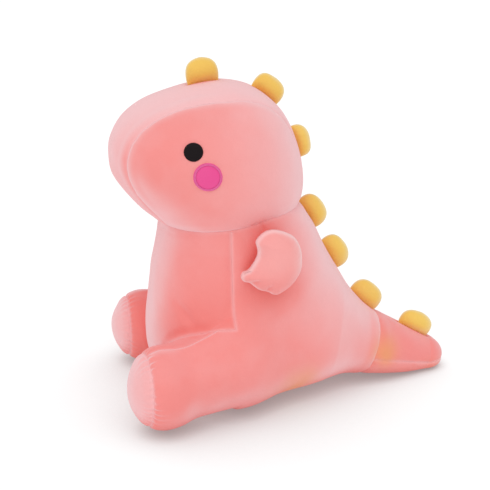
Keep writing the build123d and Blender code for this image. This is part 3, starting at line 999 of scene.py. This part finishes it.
def build_patch(side, kind, centre, normal):
    tag = "left" if side > 0 else "right"
    radius, height, dome = (PATCHES[kind][key] for key in ("radius", "height", "dome"))
    shares = [1 - (1 - i / PATCH_RINGS) ** 1.5 for i in range(1, PATCH_RINGS + 1)]
    points = np.concatenate([centre[None]] + [
        circle(centre, normal, radius * share, PATCH_SEGMENTS)[1] for share in shares])
    points = project(points, 4)
    normals = surface_normals(points)
    reach = np.array([0.0] + [share for share in shares for _ in range(PATCH_SEGMENTS)])
    lift = (-0.5 + (height + 0.5) * np.sqrt(np.clip(1 - reach ** 5, 0, 1))
            + dome * (1 - reach ** 2))
    if kind == "cheek":
        # groove under the stitched ring
        lift -= 0.55 * bell(reach - 0.86, 0.035)
    outer = points + normals * lift[:, None]
    inner = points - normals * 1.4
    material, slot = {"eye": (BLACK, "eye_thread"), "cheek": (MAGENTA, "cheek_fabric")}[kind]
    obj = add_mesh(f"{kind}_patch_{tag}", np.concatenate([outer, inner]),
                   double_disc(PATCH_RINGS, PATCH_SEGMENTS), material)
    # painted highlight round the patch edge
    add_attribute(obj, "seam", np.tile(bell(reach - 0.93, 0.05), 2))
    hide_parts(f"{kind}_{tag}")
    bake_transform(obj)


def build_cheek_ring(side, centre, normal):
    """Satin-stitch ring a little inside the cheek's edge."""
    tag = "left" if side > 0 else "right"
    directions, path = circle(centre, normal, STITCH_RING * PATCHES["cheek"]["radius"], STITCHES)
    path = project(path, 4)
    normals = surface_normals(path)
    points = []
    for j in range(STITCHES):
        outward = directions[j] - normals[j] * (directions[j] @ normals[j])
        swell = 0.92 + 0.10 * math.cos(math.pi * j)  # every other stitch is fuller
        for i in range(STITCH_SEGMENTS):
            t = 2 * math.pi * i / STITCH_SEGMENTS
            points.append(path[j] + outward * 0.85 * swell * math.cos(t)
                          + normals[j] * (0.72 + 0.5 * swell * math.sin(t)))
    faces = turn_over(tube_walls(STITCHES, STITCH_SEGMENTS, closed=True))
    obj = add_mesh(f"cheek_ring_{tag}", points, faces, PINK_THREAD)
    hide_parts(f"cheek_edge_stitch_{tag}")
    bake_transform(obj)


for patch_side, patch_kind, patch_centre, patch_normal in PATCH_SEATS:
    build_patch(patch_side, patch_kind, patch_centre, patch_normal)
    if patch_kind == "cheek":
        build_cheek_ring(patch_side, patch_centre, patch_normal)

# =============================================================  arms
ARM_X = 108.0  # middle plane of the left arm
ARM_POINTS, ARM_RINGS = 120, 22
# (y, z) of the arm's outline in its middle plane
ARM_OUTLINE = np.array([
    (-2.612, 207.782), (1.408, 213.934), (8.217, 218.795), (17.114, 219.960),
    (28.701, 216.729), (38.574, 210.358), (44.559, 199.768), (46.642, 188.861),
    (45.612, 174.377), (36.733, 160.030), (22.914, 150.216), (15.904, 149.400),
    (10.949, 152.413), (4.498, 154.330), (-1.501, 157.087), (-9.875, 164.129),
    (-16.131, 166.109), (-18.292, 170.471), (-16.160, 175.217), (-10.585, 177.478),
    (-5.141, 184.669), (-1.218, 192.733), (-0.839, 199.648),
])
# (y, z) of the claw stitches near the paw's lower edge
CLAWS = [np.array([8.289, 156.544]), np.array([-6.425, 165.038])]


def closed_spline(knots, count):
    """Periodic Catmull-Rom through the knots, evenly resampled."""
    curve = []
    for i in range(len(knots)):
        p0, p1, p2, p3 = (knots[(i + k) % len(knots)] for k in (-1, 0, 1, 2))
        for t in np.linspace(0, 1, 24, endpoint=False):
            curve.append(0.5 * ((2 * p1) + (-p0 + p2) * t
                                + (2 * p0 - 5 * p1 + 4 * p2 - p3) * t * t
                                + (-p0 + 3 * p1 - 3 * p2 + p3) * t ** 3))
    curve = np.array(curve)
    steps = np.linalg.norm(np.roll(curve, -1, 0) - curve, axis=1)
    length = np.concatenate([[0], np.cumsum(steps)])
    stops = np.linspace(0, length[-1], count, endpoint=False)
    curve = np.concatenate([curve, curve[:1]])
    return np.stack([np.interp(stops, length, curve[:, k]) for k in range(2)], 1)


ARM_EDGE = closed_spline(ARM_OUTLINE, ARM_POINTS)
ARM_CENTRE = ARM_EDGE.mean(0) + (3.0, -1.0)


def paw_lean(y):
    """The paw leans in towards the body, the elbow stands off."""
    return -0.06 * np.maximum(30 - y, 0)


def claw_inward(claw):
    return (ARM_CENTRE - claw) / np.linalg.norm(ARM_CENTRE - claw)


def arm_grid():
    """Points over the arm's outline, centre first, and their distance from its edge."""
    points = [ARM_CENTRE[None]]
    for i in range(1, ARM_RINGS + 1):
        share = 1 - (1 - i / ARM_RINGS) ** 1.6
        points.append(ARM_CENTRE + (ARM_EDGE - ARM_CENTRE) * share)
    points = np.concatenate(points)
    tree = KDTree(ARM_POINTS)
    for j, (y, z) in enumerate(ARM_EDGE):
        tree.insert(Vector((y, z, 0)), j)
    tree.balance()
    edge = np.array([tree.find(Vector((y, z, 0)))[2] for y, z in points])
    edge[-ARM_POINTS:] = 0
    return points, edge


def arm_surface(face):
    """One half of the left arm: face +1 is the outer panel, -1 the one next to the body."""
    flat, edge = arm_grid()
    inset = 1 - np.clip(edge / 23.0, 0, 1)
    bulge = (17.0 if face > 0 else 12.0) * np.sqrt(np.clip(1 - inset ** 2, 0, 1))
    bulge *= 1 - 0.10 * inset ** 6
    for claw in CLAWS:
        inward = claw_inward(claw)
        offset = flat - claw
        along = offset @ inward
        across = offset @ np.array([-inward[1], inward[0]])
        bulge -= 3.4 * bell(across, 2.2) * bell(np.clip(np.abs(along - 2.5) / 4.2, 0, 9), 1)
    points = np.column_stack([ARM_X + face * np.maximum(bulge, 0.0), flat])
    lumps = 0.5 * noise3(points * np.array([0.5, 1, 1]), 14.0, 11) * np.clip(edge / 8, 0, 1)
    points[:, 0] += face * lumps
    # puckers along the edge seam, 26 to the round
    turn = np.concatenate([[0], np.tile(np.arange(ARM_POINTS), ARM_RINGS)])
    wave = np.cos(turn * 2 * np.pi * 26 / ARM_POINTS + 1.3 * np.sin(turn * 0.31))
    points[:, 0] += face * 0.35 * wave * np.exp(-edge / 4.0) * np.clip(edge / 1.2, 0, 1)
    points[:, 0] += paw_lean(points[:, 1])
    return points, edge


def build_arm_panel(side, tag, face, kind):
    points, edge = arm_surface(face)
    points[:, 0] *= side
    # second skin a little inside closes the panel
    lining = points.copy()
    lining[:, 0] -= side * face * np.minimum(1.8, edge * 0.5)
    inward = ARM_CENTRE - points[:, 1:]
    inward /= np.maximum(np.linalg.norm(inward, axis=1), 1e-6)[:, None]
    lining[:, 1:] += inward * (1.8 * np.exp(-edge / 4.0))[:, None]
    faces = double_disc(ARM_RINGS, ARM_POINTS)
    if side * face < 0:
        faces = reverse(faces)
    obj = add_mesh(f"arm_{kind}_skin_{tag}", np.concatenate([points, lining]), faces,
                   PINK_LIGHT, flat_from=2 * ARM_RINGS * ARM_POINTS)
    # painted highlight along the arm's edge seam
    add_attribute(obj, "seam", np.tile(bell(edge - 0.8, 1.3), 2))
    # painted shade: the lower part of the arm deeper, its top paler
    add_attribute(obj, "pile_and_light_tone", np.tile(-0.75 * (1 - smoothstep(points[:, 2], 158, 190)), 2))
    stuffing = [f"arm_stuffing_{tag}"] if kind == "outer" else []
    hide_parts(f"arm_{kind}_{tag}", *stuffing)
    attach(obj, f"arm_{tag}")


def build_arm_root(side, tag):
    """Short sewn neck between the arm and its slit in the side panel."""
    rings, segments = 14, 40
    start_x, end_x = 80.0, 107.0
    points = []
    for i in range(rings):
        u = i / (rings - 1)
        x = start_x + (end_x - start_x) * u
        girth = 1.0 + 0.16 * bell(u - 0.22, 0.16) - 0.10 * bell(u - 0.58, 0.2)
        for j in range(segments):
            t = 2 * math.pi * j / segments
            size = girth * (1 + 0.05 * math.cos(5 * t + 2.0 * u))
            points.append((side * x, 21.5 + 12.5 * size * math.cos(t),
                           196.5 - 2.0 * u + 13.2 * size * math.sin(t)))
    faces = tube_walls(rings, segments) + tube_caps(rings, segments)
    if side < 0:
        faces = reverse(faces)
    obj = add_mesh(f"arm_root_{tag}", points, faces, PINK_LIGHT)
    # painted highlight along the root's seam
    add_attribute(obj, "seam", [0.8 * bell(x * side - 88.5, 1.6) for x, _, _ in points])
    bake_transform(obj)


def build_claw_stitch(side, tag, number, claw):
    """Pulled stitch that wraps the paw's edge."""
    stops, segments, radius = 15, 8, 0.5
    inward = claw_inward(claw)
    path = []
    for t in np.linspace(-1, 1, stops):
        turn = t * math.pi * 0.62
        x = ARM_X + paw_lean(claw[0]) + 5.6 * math.sin(turn)
        path.append(np.array([side * x, *(claw + inward * (3.6 - 4.6 * math.cos(turn)))]))
    across = np.array([0, -inward[1], inward[0]])
    points = []
    for i, centre in enumerate(path):
        tangent = path[min(i + 1, stops - 1)] - path[max(i - 1, 0)]
        tangent /= np.linalg.norm(tangent)
        outward = np.cross(tangent, across)
        for j in range(segments):
            t = 2 * math.pi * j / segments
            points.append(centre + radius * (across * math.cos(t) + outward * math.sin(t)))
    faces = tube_walls(stops, segments) + tube_caps(stops, segments)
    obj = add_mesh(f"claw_stitch_{number}_{tag}", points, faces, CLAW_THREAD)
    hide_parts(f"claw_stitches_{tag}")
    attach(obj, f"arm_{tag}")


for arm_side, arm_tag in ((1, "left"), (-1, "right")):
    build_arm_panel(arm_side, arm_tag, 1, "outer")
    build_arm_panel(arm_side, arm_tag, -1, "inner")
    build_arm_root(arm_side, arm_tag)
    for claw_number, claw_place in enumerate(CLAWS):
        build_claw_stitch(arm_side, arm_tag, claw_number, claw_place)

# =============================================================  spikes
SPIKE_HALF_THICKNESS = 10.2
SPIKE_SEGMENTS = 56
# heights as shares of the spike's height; the first two rings sit under the skin
SPIKE_LEVELS = np.concatenate([
    [-0.16, -0.06], np.sin(np.linspace(0, 1, 30) * math.pi / 2) ** 0.9 * 0.997])
# (level, share of the half length)
SPIKE_LENGTH = np.array([
    (-0.16, 0.93), (0, 0.97), (0.12, 1.0), (0.3, 1.0), (0.5, 0.975), (0.68, 0.90),
    (0.82, 0.765), (0.92, 0.57), (0.975, 0.33), (0.997, 0.04)])
# (level, share of the half thickness)
SPIKE_THICKNESS = np.array([
    (-0.16, 0.20), (0, 0.34), (0.1, 0.62), (0.25, 0.90), (0.45, 1.0), (0.65, 0.93),
    (0.82, 0.72), (0.92, 0.49), (0.975, 0.26), (0.997, 0.04)])


def build_spike(number, root, outward, along, length, height):
    rings, power = len(SPIKE_LEVELS), 2.1
    points, seam = [], []
    for level in SPIKE_LEVELS:
        long_share = np.interp(level, *SPIKE_LENGTH.T)
        thick_share = np.interp(level, *SPIKE_THICKNESS.T)
        for j in range(SPIKE_SEGMENTS):
            t = 2 * math.pi * j / SPIKE_SEGMENTS
            cosine, sine = math.cos(t), math.sin(t)
            reach = (abs(cosine) ** power + abs(sine) ** power) ** (-1 / power)
            groove = 1 - 0.018 * bell(abs(cosine), 0.10)
            thick = SPIKE_HALF_THICKNESS * thick_share * reach * cosine
            points.append(root + outward * (height * level * groove)
                          + along * (length / 2 * long_share * reach * sine * groove)
                          + np.array([thick, 0, 0]))
            # painted highlight along the spike's centre seam
            seam.append(bell(abs(cosine) - 0.10, 0.08))
    points = np.array(points)
    lumps = noise3(points, 11.0, 20 + number)
    away = unit_rows(points - (root + outward * height * 0.45))
    points = points + away * (0.35 * lumps)[:, None]
    # smooth the profile steps
    grid = points.reshape(rings, SPIKE_SEGMENTS, 3)
    for _ in range(6):
        grid[1:-1] = 0.5 * grid[1:-1] + 0.25 * (grid[:-2] + grid[2:])
    faces = (turn_over(tube_walls(rings, SPIKE_SEGMENTS))
             + reverse(tube_caps(rings, SPIKE_SEGMENTS)))
    obj = add_mesh(f"spike_{number}_skin", grid.reshape(-1, 3), faces, YELLOW)
    add_attribute(obj, "seam", seam)
    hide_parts(f"spike_{number}_cover", f"spike_{number}_stuffing")
    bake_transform(obj)


for spike_number, spike_seat in enumerate(SPIKE_SEATS, 1):
    build_spike(spike_number, *spike_seat)


# =============================================================  floor, light, camera
def floor_material():
    """Near-white floor with a painted shadow: soft under the toy and tight at the contact."""
    material = bpy.data.materials.new("studio_white")
    sh = Shader.of(material)
    output = sh.node("ShaderNodeOutputMaterial")
    # painted shadow: ambient occlusion dims the floor's glow and darkens its colour
    wide_painted_shadow = sh.remap(sh.occlusion(distance=0.20, samples=8),
                    source=(0.20, 0.93), target=(0.34, 0.72))
    contact_painted_shadow = sh.remap(sh.occlusion(distance=0.022, samples=8),
                     source=(0.10, 0.75), target=(0.68, 1.0))
    color = sh.mix(contact_painted_shadow, (0.20, 0.16, 0.15), (0.35, 0.36, 0.365))
    diffuse = sh.node("ShaderNodeBsdfDiffuse", {"Color": color})
    glow = sh.node("ShaderNodeEmission", {"Strength": sh.calc("MULTIPLY", wide_painted_shadow, contact_painted_shadow)})
    total = sh.node("ShaderNodeAddShader", {0: diffuse.outputs[0], 1: glow.outputs[0]})
    sh.feed(output.inputs[0], total.outputs[0])
    return material


def build_floor():
    half = 40.0  # metres
    mesh = bpy.data.meshes.new("floor")
    corners = [(-half, -half, 0), (half, -half, 0), (half, half, 0), (-half, half, 0)]
    mesh.from_pydata(corners, [], [(0, 1, 2, 3)])
    floor = bpy.data.objects.new("floor", mesh)
    bpy.context.scene.collection.objects.link(floor)
    mesh.materials.append(floor_material())


def build_world():
    """A plain bright world: 0.70 as light, 1.0 as seen by the camera."""
    world = bpy.data.worlds.new("studio")
    bpy.context.scene.world = world
    world.use_nodes = True
    sh = Shader(world.node_tree)
    seen = sh.node("ShaderNodeLightPath").outputs["Is Camera Ray"]
    sh.fill(world.node_tree.nodes["Background"], {
        "Color": (1.0, 0.99, 0.985), "Strength": sh.remap(seen, target=(0.70, 1.0))})


def build_sun():
    sun = bpy.data.lights.new("sky_softbox", "SUN")
    sun.angle = math.radians(75)
    sun.energy = 1.0
    sun.color = (1.0, 0.985, 0.975)
    obj = bpy.data.objects.new("sky_softbox", sun)
    bpy.context.scene.collection.objects.link(obj)
    towards_sun = Vector((0.85, -0.38, 1.5))
    obj.rotation_euler = (-towards_sun).to_track_quat("-Z", "Y").to_euler()


def build_camera():
    azimuth = math.radians(75.5)  # from -Y towards +X
    pitch = math.radians(17.3)    # downwards
    distance, height = 1150.0, 530.5
    sine, cosine = math.sin(azimuth), math.cos(azimuth)
    place = np.array([distance * sine, -distance * cosine, height])
    forward = np.array([-sine * math.cos(pitch), cosine * math.cos(pitch), -math.sin(pitch)])
    right = np.array([cosine, sine, 0.0])
    rotation = Matrix((right, np.cross(right, forward), -forward)).transposed()
    camera = bpy.data.cameras.new("cam")
    camera.sensor_width = 36
    camera.lens = 78.00244898
    camera.shift_x = 0.0255102041
    camera.clip_end = 50
    obj = bpy.data.objects.new("cam", camera)
    bpy.context.scene.collection.objects.link(obj)
    obj.matrix_world = Matrix.Translation(Vector(place * MM)) @ rotation.to_4x4()
    bpy.context.scene.camera = obj


build_floor()
build_world()
build_sun()
build_camera()
view = bpy.context.scene.view_settings
view.view_transform = "Standard"
view.look = "None"
view.exposure = 0.0
